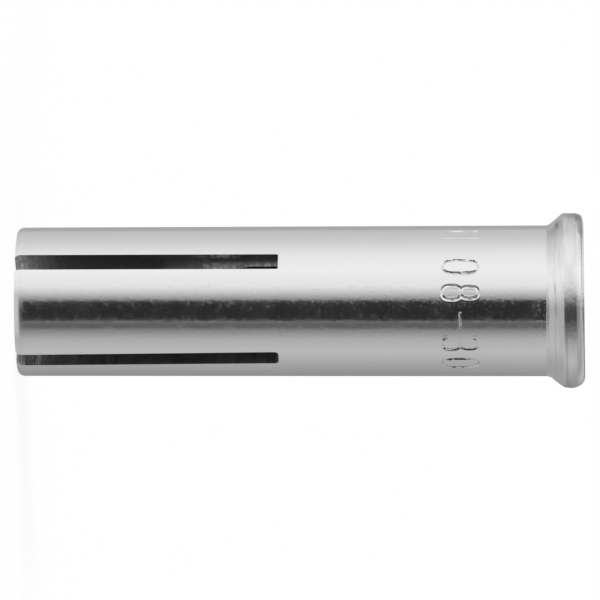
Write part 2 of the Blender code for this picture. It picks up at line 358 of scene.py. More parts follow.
class SleeveGrid:
    """The sleeve as one closed surface, before its thread and figures.

    Its points are marked where the thread and the figures will move them.
    """

    def __init__(self, sizes, thread, marks):
        self.shape = SleeveShape(sizes, thread)
        self.mesh = bmesh.new()
        self.threaded = self.mesh.verts.layers.float.new("threaded")
        self.struck = self.mesh.verts.layers.float.new("struck")
        band = marks.foot - STRUCK_MARGIN, marks.foot + marks.height + STRUCK_MARGIN
        root_outside, root_bore = self.slotted_length()
        brow = self.outside(root_outside, band)
        self.bore(root_bore, brow, thread.pitch / THREAD_ROWS)
        self.refine_struck_band(marks, band)

    def ring(self, radius, height, step=1):
        """One vertex for each column, or for every few columns."""
        return [self.mesh.verts.new(self.shape.place(c, radius, height)) for c in range(0, COLUMNS, step)]

    def face(self, corners, finish):
        """One smooth face with its material slot."""
        made = self.mesh.faces.new(corners)
        made.material_index = finish
        made.smooth = True

    def skin(self, lower, upper, finish, inward=False):
        """Faces between two rows."""
        count = len(lower)
        for c in range(count):
            corners = [lower[c], lower[(c + 1) % count], upper[(c + 1) % count], upper[c]]
            self.face(corners[::-1] if inward else corners, finish)

    def slotted_length(self):
        """Builds the legs up to the slots' root, and returns the outside's and the bore's rows there."""
        verts, top = self.slotted_vertices()

        def quad(finish, *corners):
            """A face between four of these vertices."""
            self.face([verts[corner] for corner in corners], finish)

        inner = WALL_STEPS
        for c in LEGS:
            after = (c + 1) % COLUMNS
            for row in range(top):
                quad(OUTSIDE, (row, c, 0), (row, after, 0), (row + 1, after, 0), (row + 1, c, 0))
                quad(BORE, (row, after, inner), (row, c, inner), (row + 1, c, inner), (row + 1, after, inner))
            for step in range(WALL_STEPS):
                quad(OUTSIDE, (0, c, step), (0, c, step + 1), (0, after, step + 1), (0, after, step))
        for c in WALLS:
            for row in range(top):
                for step in range(WALL_STEPS):
                    corners = (row, c, step), (row, c, step + 1), (row + 1, c, step + 1), (row + 1, c, step)
                    quad(CUT, *(corners if c % QUARTER == 0 else corners[::-1]))
        for c in filter(in_gap, range(COLUMNS)):
            after = (c + 1) % COLUMNS
            for step in range(WALL_STEPS):
                quad(CUT, (top, c, step), (top, c, step + 1), (top, after, step + 1), (top, after, step))
        return [[verts[top, c, step] for c in range(COLUMNS)] for step in (0, WALL_STEPS)]

    def slotted_vertices(self):
        """Vertices of the slotted length by row, column and step through the wall, and its top row."""
        shape = self.shape
        outside, bore = shape.tip_rows()
        for height in shape.slot_heights():
            outside.append((between(shape.outside_line, height), height))
            bore.append((between(shape.bore_line, height), height))
        top = len(outside) - 1
        verts = {}
        for row, (outer, inner) in enumerate(zip(outside, bore)):
            for step in range(WALL_STEPS + 1):
                on_surface = row == 0 or step in (0, WALL_STEPS)
                place = partway(outer, inner, step / WALL_STEPS)
                for c in ON_LEGS if on_surface else WALLS:
                    verts[row, c, step] = self.mesh.verts.new(shape.place(c, *place))
        for c in filter(off_walls, range(COLUMNS)):
            height = shape.root_height(c)
            outer, inner = between(shape.outside_line, height), between(shape.bore_line, height)
            for step in range(WALL_STEPS + 1):
                radius = outer * (1 - step / WALL_STEPS) + inner * step / WALL_STEPS
                verts[top, c, step] = self.mesh.verts.new(shape.place(c, radius, height))
        return verts, top

    def outside(self, lower, band):
        """Builds the outside up from a row at the slots' root, and returns its row on the lip's face."""
        shape = self.shape
        lip = shape.lip_rows()
        heights = [shape.root + ROOT_STRIP]
        heights += spread(heights[-1], band[0], BODY_ROW)
        heights += spread(*band, STRUCK_ROW)
        heights += spread(band[1], lip[0][1] - NECK_STRIP, NECK_ROW)
        for radius, height in [(between(shape.outside_line, z), z) for z in heights] + lip:
            upper = self.ring(radius, height)
            self.skin(lower, upper, OUTSIDE)
            lower = upper
        return lower

    def bore(self, lower, brow, row_height):
        """Builds the bore up from a row at the slots' root, and joins its mouth to the outside's last row."""
        shape, length = self.shape, self.shape.sizes.length
        for height in (shape.root + ROOT_STRIP, shape.chamber_top):
            upper = self.ring(between(shape.bore_line, height), height)
            self.skin(lower, upper, BORE, inward=True)
            lower = upper
        coarse = self.ring(shape.minor, shape.thread_end, THREAD_SHARE)
        for facing, start, end in facing_rows(lower, coarse):
            self.face([*facing[::-1], start, end], BORE)
        lower = coarse
        chamfer_foot = length - shape.sizes.mouth_chamfer
        for height in spread(shape.thread_end, length, row_height):
            upper = self.ring(shape.minor + max(0.0, height - chamfer_foot), height, THREAD_SHARE)
            for vert in upper:
                vert[self.threaded] = 1.0
            self.skin(lower, upper, BORE, inward=True)
            lower = upper
        for vert in lower:
            vert[self.threaded] = 0.0
        for facing, start, end in facing_rows(brow, lower):
            self.face([start, *facing, end], OUTSIDE)

    def refine_struck_band(self, marks, band):
        """Halves the faces where the figures are struck, so that their lines have clean sides."""
        outside_line, inside_wall = self.shape.outside_line, self.shape.chamber + 0.6 * MM
        touch = 0.001 * MM
        past_tallies, past_figures = math.radians(41), math.radians(12)
        low = front_angle(marks.first) - past_tallies
        high = front_angle(marks.first) + marks.pitch * (len(FIGURES) - 1) + past_figures

        def in_band(vert):
            x, y, z = vert.co
            return math.hypot(x, y) > inside_wall and band[0] - touch < z < band[1] + touch

        def by_figures(vert):
            return in_band(vert) and low < math.atan2(vert.co.y, vert.co.x) % TAU < high

        edges = [edge for edge in self.mesh.edges if all(by_figures(vert) for vert in edge.verts)]
        bmesh.ops.subdivide_edges(self.mesh, edges=edges, cuts=1, use_grid_fill=True)
        for vert in filter(in_band, self.mesh.verts):
            x, y, z = vert.co
            vert[self.struck] = 1.0
            share = between(outside_line, z) / math.hypot(x, y)
            vert.co.x, vert.co.y = x * share, y * share


def facing_rows(fine, coarse):
    """Each edge of a row of the thread, with the vertices of a finer row that it faces."""
    for c, start in enumerate(coarse):
        facing = [fine[(c * THREAD_SHARE + i) % COLUMNS] for i in range(THREAD_SHARE + 1)]
        yield facing, start, coarse[(c + 1) % len(coarse)]


def piece_from(name, shape):
    """A linked object at the origin whose mesh is a finished bmesh, which is then freed."""
    mesh = bpy.data.meshes.new(name)
    shape.to_mesh(mesh)
    shape.free()
    piece = bpy.data.objects.new(name, mesh)
    bpy.context.scene.collection.objects.link(piece)
    return piece


SEED = 4.0
FIGURES = "08-30"
# Angles of the two tally strokes above the front, in degrees, and how deep they are struck
TALLIES = ((67.0, 0.05 * MM), (55.3, 0.022 * MM))


def front_angle(up_in_photograph):
    """A direction round the axis, from its angle above the front."""
    return math.radians(270) - up_in_photograph


def arc(centre, half_width, half_height, start, end, steps=14):
    """Part of a squarish ring, from one angle in degrees to another, in figure heights."""
    squareness = 0.7
    points = []
    for i in range(steps + 1):
        turn = math.radians(start + (end - start) * i / steps)
        cosine, sine = math.cos(turn), math.sin(turn)
        across = math.copysign(abs(cosine) ** squareness, cosine)
        up = math.copysign(abs(sine) ** squareness, sine)
        points.append((centre[0] + half_width * across, centre[1] + half_height * up))
    return points


def figure_strokes(figure):
    """The lines of one figure, in a box one unit wide and one high."""
    if figure == "0":
        return [arc((0.5, 0.5), 0.5, 0.5, 0, 360, 36)]
    if figure == "8":
        return [arc((0.5, 0.76), 0.42, 0.24, 0, 360, 28), arc((0.5, 0.26), 0.5, 0.26, 0, 360, 28)]
    if figure == "3":
        return [arc((0.45, 0.75), 0.48, 0.25, 150, -80), arc((0.45, 0.25), 0.52, 0.25, 80, -150)]
    if figure == "-":
        return [[(0.05, 0.5), (0.95, 0.5)]]
    return [[(0.5, 0.0), (0.5, 1.0)]]


def struck_lines(shape, marks, figures):
    """An edges-only mesh of struck figures, each with its angle above the front, wrapped round the sleeve."""
    lines = bmesh.new()
    for figure, up in figures:
        for stroke in figure_strokes(figure):
            last = None
            for across, rise in stroke:
                height = marks.foot + rise * marks.height
                radius = between(shape.outside_line, height)
                turn = front_angle(up) + (across - 0.5) * marks.width / radius
                vert = lines.verts.new((radius * math.cos(turn), radius * math.sin(turn), height))
                if last:
                    lines.edges.new((last, vert))
                last = vert
    return piece_from("struck_lines", lines)


# Kinds and settings of nodes that come up often
MATH, VECTOR_MATH, MAP_RANGE, NOISE = (
    "ShaderNodeMath", "ShaderNodeVectorMath", "ShaderNodeMapRange", "ShaderNodeTexNoise")
ADD, SUBTRACT, MULTIPLY, DIVIDE, ABSOLUTE = (
    {"operation": name} for name in ("ADD", "SUBTRACT", "MULTIPLY", "DIVIDE", "ABSOLUTE"))
MULTIPLY_ADD, MAXIMUM = {"operation": "MULTIPLY_ADD"}, {"operation": "MAXIMUM"}
SOFTLY = {"interpolation_type": "SMOOTHSTEP"}
TO_COLOUR = {"data_type": "RGBA"}


def node(tree, kind, settings=None, *in_order, **by_name):
    """Adds a node, sets it, and fills its inputs with values or links them from nodes and sockets."""
    made = tree.nodes.new(kind)
    for name, value in (settings or {}).items():
        setattr(made, name, value)
    given = list(zip(made.inputs, in_order))
    for name, value in by_name.items():
        called = (i for i in made.inputs if name in (i.identifier, i.name.replace(" ", "_")))
        given.append((next(called), value))
    for socket, value in given:
        source = value.outputs[0] if isinstance(value, bpy.types.Node) else value
        if isinstance(source, bpy.types.NodeSocket):
            tree.links.new(source, socket)
        else:
            socket.default_value = source
    return made


def geometry_tree(name, inputs):
    """A Geometry Nodes tree with a geometry input and output and the named inputs."""
    tree = bpy.data.node_groups.new(name, "GeometryNodeTree")
    tree.interface.new_socket("Geometry", in_out="INPUT", socket_type="NodeSocketGeometry")
    for label, (kind, value) in inputs.items():
        socket = tree.interface.new_socket(label, in_out="INPUT", socket_type=kind)
        if value is not None:
            socket.default_value = value
    tree.interface.new_socket("Geometry", in_out="OUTPUT", socket_type="NodeSocketGeometry")
    return tree, partial(node, tree), tree.nodes.new("NodeGroupInput").outputs


def run_tree(piece, tree, values):
    """Runs a Geometry Nodes tree on a piece and keeps the plain mesh that it makes."""
    modifier = piece.modifiers.new(tree.name, "NODES")
    modifier.node_group = tree
    for item in tree.interface.items_tree:
        if item.in_out == "INPUT" and item.name in values:
            modifier[item.identifier] = values[item.name]
    depsgraph = bpy.context.evaluated_depsgraph_get()
    mesh = bpy.data.meshes.new_from_object(
        piece.evaluated_get(depsgraph), preserve_all_data_layers=True, depsgraph=depsgraph)
    piece.modifiers.remove(modifier)
    piece.data = mesh
    mesh.name = piece.name


def push_outward(add, given, attribute, outward, step):
    """Ends a tree: moves the points whose attribute is set outward by step, and gives them the finish."""
    marked = add("GeometryNodeInputNamedAttribute", {"data_type": "FLOAT"}, attribute)
    chosen = add(MATH, {"operation": "GREATER_THAN"}, marked, 0.5)
    offset = add(VECTOR_MATH, {"operation": "SCALE"}, outward, Scale=step)
    moved = add("GeometryNodeSetPosition", None, given["Geometry"], chosen, Offset=offset)
    whole = add("GeometryNodeRealizeInstances", None, moved)
    add("NodeGroupOutput", None, add("GeometryNodeSetMaterial", None, whole, chosen, given["Finish"]))


def tapped_thread_tree():
    """Cuts a right-hand vee thread into the points whose attribute "threaded" is set."""
    size = "NodeSocketFloat"
    tree, add, given = geometry_tree("Tapped Thread", {
        "Pitch": (size, MM), "Minor Radius": (size, MM), "Depth": (size, MM),
        "Foot": (size, 0.0), "Run Out": (size, MM), "Finish": ("NodeSocketMaterial", None)})
    x, y, z = add("ShaderNodeSeparateXYZ", None, add("GeometryNodeInputPosition")).outputs
    flat = add("ShaderNodeCombineXYZ", None, x, y)
    radius = add(VECTOR_MATH, {"operation": "LENGTH"}, flat).outputs["Value"]
    outward = add(VECTOR_MATH, {"operation": "NORMALIZE"}, flat)
    turns = add(MATH, DIVIDE, add(MATH, {"operation": "ARCTAN2"}, y, x), TAU)
    rise = add(MATH, DIVIDE, z, given["Pitch"])
    phase = add(MATH, {"operation": "FRACT"}, add(MATH, SUBTRACT, rise, turns))
    from_root = add(MATH, ABSOLUTE, add(MATH, SUBTRACT, phase, 0.5))
    # A metric thread is flat for 1/8 of its pitch at each root and for 1/4 of it at each crest
    crest_side, root_side = 0.375, 0.0625
    vee = add(MAP_RANGE, {"interpolation_type": "LINEAR"}, from_root, crest_side, root_side, 0.0, 1.0)
    above_foot = add(MATH, SUBTRACT, z, given["Foot"])
    fade = add(MATH, {"operation": "DIVIDE", "use_clamp": True}, above_foot, given["Run Out"])
    share = add(MATH, MULTIPLY, vee, fade)
    cut_to = add(MATH, MULTIPLY_ADD, share, given["Depth"], given["Minor Radius"])
    step = add(MATH, MAXIMUM, add(MATH, SUBTRACT, cut_to, radius), 0.0)
    push_outward(add, given, "threaded", outward, step)
    return tree


def struck_marks_tree():
    """Presses lines into the points whose attribute "struck" is set, as deep as uneven blows leave them.

    Metal that the punch pushed out stands up beside each line.
    """
    size = "NodeSocketFloat"
    tree, add, given = geometry_tree("Struck Marks", {
        "Lines": ("NodeSocketObject", None), "Stroke": (size, MM), "Depth": (size, MM),
        "Pushed Up": (size, 0.25), "Unevenness": (size, 0.0), "Seed": (size, 0.0),
        "Finish": ("NodeSocketMaterial", None)})
    x, y, _ = add("ShaderNodeSeparateXYZ", None, add("GeometryNodeInputPosition")).outputs
    outward = add(VECTOR_MATH, {"operation": "NORMALIZE"}, add("ShaderNodeCombineXYZ", None, x, y))
    lines = add("GeometryNodeObjectInfo", {"transform_space": "ORIGINAL"}, given["Lines"]).outputs["Geometry"]
    near = add("GeometryNodeProximity", {"target_element": "EDGES"}, lines).outputs["Distance"]
    half = add(MATH, MULTIPLY, given["Stroke"], 0.5)
    ratio = add(MATH, DIVIDE, near, half)
    # The groove's steepness, and the middle and half width of the metal beside it in half strokes
    steepness, ridge_middle, ridge_width = 1.3, 1.45, 0.5
    clamped = {"operation": "SUBTRACT", "use_clamp": True}
    pressed = add(MATH, clamped, 1.0, add(MATH, {"operation": "POWER"}, ratio, steepness))
    from_ridge = add(MATH, ABSOLUTE, add(MATH, SUBTRACT, ratio, ridge_middle))
    ridge = add(MATH, clamped, 1.0, add(MATH, DIVIDE, from_ridge, ridge_width))
    ridge = add(MATH, MULTIPLY, ridge, given["Pushed Up"])
    height = add(MATH, MULTIPLY, add(MATH, SUBTRACT, ridge, pressed), given["Depth"])
    blows = add(NOISE, {"noise_dimensions": "4D"}, W=given["Seed"], Scale=1 / (0.45 * MM), Detail=1.0)
    blow = add(MATH, MULTIPLY_ADD, add(MATH, SUBTRACT, blows, 0.5), given["Unevenness"], 1.0)
    height = add(MATH, MULTIPLY, height, blow)
    push_outward(add, given, "struck", outward, height)
    return tree


def blank_material(name):
    """A material with nothing in it yet, and the function that adds its nodes."""
    material = bpy.data.materials.new(name)
    material.use_nodes = True
    material.node_tree.nodes.clear()
    return material, partial(node, material.node_tree)


def metal_surface(add, colour, polish, relief):
    """Ends a metal's material, from its colour, its roughness and the height of its relief in metres."""
    shader = add("ShaderNodeBsdfPrincipled", None, Base_Color=colour, Metallic=1.0, Roughness=polish,
                 Normal=add("ShaderNodeBump", None, Height=relief, Distance=1.0))
    add("ShaderNodeOutputMaterial", None, shader)


def soft_band(add, height, middle, core, edge, strength):
    """A band round the axis: its full strength out to core from its middle, and nothing past edge."""
    away = add(MATH, ABSOLUTE, add(MATH, SUBTRACT, height, middle))
    return add(MAP_RANGE, SOFTLY, away, core, edge, strength, 0.0)


def bright_zinc(finishes, shape):
    """Electroplated zinc, bright dipped, over cold-drawn steel.

    It mirrors its surroundings almost cleanly. Faint drawing lines along the axis and shallow pits from
    the barrel make the edges of what it mirrors ragged, and the pits are hazy, so that dark bands look
    mottled. The slotted end, which rubbed in the barrel, is hazy too. The lip, which the header's die
    upset, mirrors less sharply, with rings from the die and flecks in its neck. The lip's colour also
    carries painted shade in its die line and fold, and painted dark reflection on patches of it. Just
    under the neck the die left the body more polished.
    """
    material, add = blank_material("bright_zinc_plated_cold_drawn_steel")
    place = add("ShaderNodeTexCoord").outputs["Object"]
    height = add("ShaderNodeSeparateXYZ", None, place).outputs["Z"]
    along = add("ShaderNodeMapping", None, place, Scale=(1.0, 1.0, 0.25))
    around = add("ShaderNodeMapping", None, place, Scale=(0.15, 0.15, 1.0))
    cloudy = add(NOISE, None, place, Scale=1 / (1.3 * MM))
    # Drawing lines are a few hundredths of a millimetre wide, and are drawn 0.2 mm wide so that they show
    drawn = add(NOISE, None, along, Scale=1 / (0.2 * MM), Detail=3.0, Roughness=0.6)
    pitted = add(NOISE, None, place, Scale=1 / (0.2 * MM), Roughness=0.6)
    hammered = add(NOISE, None, place, Scale=1 / (0.4 * MM))
    flecks = add(NOISE, None, place, Scale=1 / (0.09 * MM))
    rings = add(NOISE, None, around, Scale=1 / (0.2 * MM), Detail=3.0)
    upset = add(MAP_RANGE, SOFTLY, height, shape.neck - 0.1 * MM, shape.neck + 0.4 * MM, 0.0, 1.0)
    at_neck = soft_band(add, height, shape.neck, 0.05 * MM, 0.15 * MM, 1.0)
    # Relief
    relief = add(MATH, MULTIPLY, cloudy, 0.002 * MM)
    relief = add(MATH, MULTIPLY_ADD, drawn, 0.0015 * MM, relief)
    relief = add(MATH, MULTIPLY_ADD, pitted, 0.003 * MM, relief)
    relief = add(MATH, MULTIPLY_ADD, add(MATH, MULTIPLY, hammered, upset), 0.012 * MM, relief)
    fleck = add(MATH, MULTIPLY, add(MATH, SUBTRACT, flecks, 0.5), at_neck)
    relief = add(MATH, MULTIPLY_ADD, fleck, 0.04 * MM, relief)
    # Roughness: clouds, the lip, the body under the neck, the pits and the slotted end
    polish = add(MAP_RANGE, SOFTLY, cloudy, 0.35, 0.65, 0.12, 0.17)
    polish = add(MATH, MULTIPLY_ADD, upset, 0.19, polish)
    below_neck = add(MAP_RANGE, SOFTLY, height, shape.neck - 0.5 * MM, shape.neck - 0.25 * MM, 0.0, -0.07)
    polish = add(MATH, ADD, polish, below_neck)
    hazy = add(MAP_RANGE, SOFTLY, pitted, 0.53, 0.69, 0.0, add(MATH, MULTIPLY_ADD, upset, -0.09, 0.1))
    polish = add(MATH, ADD, polish, hazy)
    polish = add(MATH, ADD, polish, add(MAP_RANGE, SOFTLY, height, 0.25 * MM, 0.7 * MM, 0.2, 0.0))
    # Colour: rings from the die, and the lip's painted shade and painted dark reflection from its attribute
    dull = add("ShaderNodeAttribute", {"attribute_name": "dull"}).outputs["Fac"]
    ringed = add(MATH, MULTIPLY, add(MAP_RANGE, SOFTLY, rings, 0.35, 0.65, 0.0, 0.13), upset)
    dull = add(MATH, {"operation": "ADD", "use_clamp": True}, dull, ringed)
    bright, painted_darkening = (*finishes.zinc, 1.0), (*finishes.zinc_in_rings_and_painted_shade, 1.0)
    colour = add("ShaderNodeMix", TO_COLOUR, Factor_Float=dull, A_Color=bright, B_Color=painted_darkening).outputs[2]
    metal_surface(add, colour, polish, relief)
    return material


def sawn_steel(finishes, shape):
    """Steel cut by a slitting saw and then zinc plated.

    The blade leaves fine lines across the wall, and the plating down in the cut is blotched. The dark base
    colour is partly the cut's own and partly painted shade of the narrow cut. It is painted lighter near the
    open end. The cuts on the upper side are darker over their last 0.2 mm, and have painted light on the way
    to their root, brightest by the bore and towards the outer edge, with painted shade between. Those on the
    lower side are painted lighter all over, and end in a real burr with painted shade on one side, a painted
    highlight on the other and a painted highlight at the very end, streaks behind it and a painted highlight
    on the outer corner.
    """
    material, add = blank_material("zinc_plated_sawn_steel")
    place = add("ShaderNodeTexCoord").outputs["Object"]
    x, y, height = add("ShaderNodeSeparateXYZ", None, place).outputs
    flat = add("ShaderNodeCombineXYZ", None, x, y)
    radius = add(VECTOR_MATH, {"operation": "LENGTH"}, flat).outputs["Value"]
    across = add("ShaderNodeMapping", None, place, Scale=(0.1, 0.1, 1.0))
    # The saw's lines are about 0.05 mm apart, and are drawn 0.22 mm apart so that they show
    kerf = add(NOISE, None, across, Scale=1 / (0.22 * MM), Detail=4.0, Roughness=0.7)
    blotches = add(NOISE, None, place, Scale=1 / (0.4 * MM), Detail=4.0, Roughness=0.7)
    wander = add(MATH, MULTIPLY_ADD, add(MATH, SUBTRACT, blotches, 0.5), 4.0 * MM, height)
    # Which side of the sleeve a cut lies on, for painted light that differs between the upper and the lower
    # cuts
    upper_cuts_paint_mask = add(MAP_RANGE, SOFTLY, x, -1.0 * MM, 1.0 * MM, 1.0, 0.0)
    lower_cuts_paint_mask = add(MATH, SUBTRACT, 1.0, upper_cuts_paint_mask)
    # Painted light in blotches: at the open end, and towards the root in the cuts on the upper side
    from_tip = add(MATH, MULTIPLY_ADD, lower_cuts_paint_mask, 1.4 * MM, wander)
    tip = add(MAP_RANGE, SOFTLY, from_tip, 1.0 * MM, 2.9 * MM, 0.52, 0.0)
    root = add(MAP_RANGE, SOFTLY, wander, shape.root - 4.45 * MM, shape.root - 3.2 * MM, 0.0, 1.15)
    root = add(MATH, MULTIPLY, root, upper_cuts_paint_mask)
    # Within that painted light near the root: painted shade on the outer part of the wall, and painted light
    # by the bore and towards the outer edge
    painted_root_shade = add(MATH, MULTIPLY, root, add(MAP_RANGE, SOFTLY, radius, 3.0 * MM, 3.4 * MM, 0.0, 0.23))
    painted_light_by_bore = add(MAP_RANGE, SOFTLY, radius, 2.8 * MM, 3.35 * MM, 0.8, 0.0)
    painted_light_by_opening = add(MAP_RANGE, SOFTLY, radius, 3.5 * MM, 3.75 * MM, 0.0, 1.3)
    away = add(MAP_RANGE, SOFTLY, wander, shape.root - 2.4 * MM, shape.root - 1.9 * MM, 1.0, 0.0)
    root = add(MATH, MULTIPLY, root, add(MATH, MULTIPLY_ADD, painted_light_by_opening, away, painted_light_by_bore))
    lines = add(MAP_RANGE, SOFTLY, kerf, 0.42, 0.58, 0.4, 1.0)
    spots = add(MAP_RANGE, SOFTLY, blotches, 0.42, 0.56, 0.3, 1.0)
    plated = add(MATH, MULTIPLY, add(MATH, MAXIMUM, tip, root), add(MATH, MULTIPLY, lines, spots))
    # The base level elsewhere, painted lighter in the cuts on the lower side and less the painted shade near
    # the root, and the streaks near the open end of the cuts on the lower side
    thin_plating_and_painted_light = add(MATH, SUBTRACT, add(MATH, MULTIPLY_ADD, lower_cuts_paint_mask, 0.22, 0.26), painted_root_shade)
    near_tip = add(MAP_RANGE, SOFTLY, height, 0.5 * MM, 2.0 * MM, 1.0, 0.0)
    ragged = add(MATH, MULTIPLY, near_tip, lower_cuts_paint_mask)
    streaks = add(MATH, MULTIPLY, ragged, add(MAP_RANGE, SOFTLY, kerf, 0.45, 0.58, -0.5, 0.9))
    thin_plating_and_painted_light = add(MATH, ADD, thin_plating_and_painted_light, streaks)
    # The last 0.4 mm: the burr of the cuts on the lower side, with painted shade on one side of it, a painted
    # highlight on the other and a painted highlight at the end, the painted highlight and dent of their outer
    # corner, and the upper cuts' darker end
    burr = add(MATH, MULTIPLY, soft_band(add, height, 0.2 * MM, 0.0, 0.08 * MM, 1.0), lower_cuts_paint_mask)
    # lit is a painted highlight and shaded a painted shade beside the burr, and end a painted highlight on
    # the last 0.1 mm
    lit = soft_band(add, height, 0.25 * MM, 0.02 * MM, 0.07 * MM, 0.9)
    shaded = soft_band(add, height, 0.16 * MM, 0.01 * MM, 0.05 * MM, 1.3)
    end = add(MAP_RANGE, SOFTLY, height, 0.07 * MM, 0.13 * MM, 0.5, 0.0)
    painted_burr_light = add(MATH, ADD, end, add(MATH, SUBTRACT, lit, shaded))
    darker_upper_end = add(MATH, MULTIPLY, add(MAP_RANGE, SOFTLY, height, 0.14 * MM, 0.28 * MM, -0.25, 0.0), upper_cuts_paint_mask)
    # corner is a painted highlight on the outer corner of the lower cuts, and a real dent in the relief
    corner = add(MATH, MULTIPLY, add(MAP_RANGE, SOFTLY, radius, 3.7 * MM, 3.82 * MM, 0.0, 1.0), lower_cuts_paint_mask)
    corner = add(MATH, MULTIPLY, corner, add(MAP_RANGE, SOFTLY, height, 0.2 * MM, 0.4 * MM, 1.0, 0.0))
    thin_plating_and_painted_light = add(MATH, ADD, thin_plating_and_painted_light, add(MATH, MULTIPLY_ADD, painted_burr_light, lower_cuts_paint_mask, darker_upper_end))
    thin_plating_and_painted_light = add(MATH, ADD, thin_plating_and_painted_light, corner)
    # plated is the plating's share together with all the painted light and shade above
    plated = add(MATH, {"operation": "ADD", "use_clamp": True}, thin_plating_and_painted_light, plated)
    # The dark colour is partly the cut's own and partly painted shade of the narrow cut
    light, dark = (*finishes.zinc, 1.0), (*finishes.sawn_plating_and_painted_shade, 1.0)
    colour = add("ShaderNodeMix", TO_COLOUR, Factor_Float=plated, A_Color=dark, B_Color=light).outputs[2]
    # Relief
    relief = add(MATH, MULTIPLY, kerf, add(MATH, MULTIPLY_ADD, ragged, 0.11 * MM, 0.02 * MM))
    relief = add(MATH, MULTIPLY_ADD, blotches, 0.006 * MM, relief)
    relief = add(MATH, MULTIPLY_ADD, burr, 0.12 * MM, relief)
    relief = add(MATH, MULTIPLY_ADD, corner, -0.08 * MM, relief)
    metal_surface(add, colour, add(MAP_RANGE, SOFTLY, kerf, 0.35, 0.65, 0.46, 0.28), relief)
    return material


def turned_steel(name, colour, stretch, feed, ring_depth, cloud_size, polish):
    """Steel with the rings of a turning tool one feed apart, and a polish that varies in clouds."""
    material, add = blank_material(name)
    place = add("ShaderNodeTexCoord").outputs["Object"]
    rings = add("ShaderNodeMapping", None, place, Scale=(stretch, stretch, 1.0))
    turned = add(NOISE, None, rings, Scale=1 / feed)
    cloudy = add(NOISE, None, place, Scale=1 / cloud_size, Detail=3.0)
    relief = add(MATH, MULTIPLY, turned, ring_depth)
    relief = add(MATH, MULTIPLY_ADD, cloudy, 0.002 * MM, relief)
    metal_surface(add, (*colour, 1.0), add(MAP_RANGE, SOFTLY, cloudy, 0.35, 0.65, *polish), relief)
    return material


def bored_steel(finishes):
    """Steel bored and tapped, then zinc plated: a bright wall with shallow rings."""
    return turned_steel("zinc_plated_tapped_steel", finishes.bore, stretch=0.05, feed=0.05 * MM,
                        ring_depth=0.0015 * MM, cloud_size=0.5 * MM, polish=(0.2, 0.34))


def plug_steel(finishes):
    """Bare low-carbon steel, cold headed and turned: duller, with deeper rings and a trace of oil."""
    return turned_steel("bare_turned_carbon_steel", finishes.plug, stretch=0.04, feed=0.06 * MM,
                        ring_depth=0.003 * MM, cloud_size=0.8 * MM, polish=(0.24, 0.42))


def keep(piece, body, replaced):
    """Puts a piece on the empty of the body that it rides on, and hides the CAD node that it replaces."""
    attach(piece, body)
    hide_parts(replaced)


class ANCHOR_OT_sleeve(bpy.types.Operator):
    """Build the slotted, lipped and tapped sleeve"""

    bl_idname = "anchor.sleeve"
    bl_label = "Sleeve"

    def execute(self, context):
        scene = context.scene
        sizes, thread, marks = scene.sleeve_sizes, scene.thread_sizes, scene.mark_sizes
        grid = SleeveGrid(sizes, thread, marks)
        shape = grid.shape
        sleeve = piece_from("slotted_sleeve", grid.mesh)
        finishes = scene.anchor_finishes
        zinc, bored = bright_zinc(finishes, shape), bored_steel(finishes)
        for material in (zinc, sawn_steel(finishes, shape), bored):
            sleeve.data.materials.append(material)
        run_tree(sleeve, tapped_thread_tree(), {
            "Pitch": thread.pitch,
            "Minor Radius": thread.minor_diameter / 2,
            "Depth": thread.depth,
            "Foot": sizes.length - sizes.thread_depth,
            "Run Out": thread.run_out,
            "Finish": bored,
        })
        self.strike(sleeve, shape, marks, zinc)
        upset_lip(sleeve.data, sizes)
        sleeve.data.set_sharp_from_angle(angle=math.radians(40))
        broken = sleeve.modifiers.new("broken edges", "BEVEL")
        broken.width = sizes.edge_break
        broken.segments = 2
        broken.limit_method = "ANGLE"
        broken.angle_limit = math.radians(60)
        broken.harden_normals = True
        broken.use_clamp_overlap = True
        keep(sleeve, "sleeve", "anchor_sleeve")
        return {"FINISHED"}

    def strike(self, sleeve, shape, marks, zinc):
        """Strikes the figures, and then each tally stroke to a depth of its own."""
        figures = [(figure, marks.first - i * marks.pitch) for i, figure in enumerate(FIGURES)]
        blows = [(figures, marks.depth)]
        blows += [([("|", math.radians(degrees))], depth) for degrees, depth in TALLIES]
        tree = struck_marks_tree()
        for struck, depth in blows:
            lines = struck_lines(shape, marks, struck)
            run_tree(sleeve, tree, {
                "Lines": lines,
                "Stroke": marks.stroke,
                "Depth": depth,
                "Pushed Up": marks.pushed_up,
                "Unevenness": marks.unevenness,
                "Seed": SEED,
                "Finish": zinc,
            })
            bpy.data.objects.remove(lines, do_unlink=True)


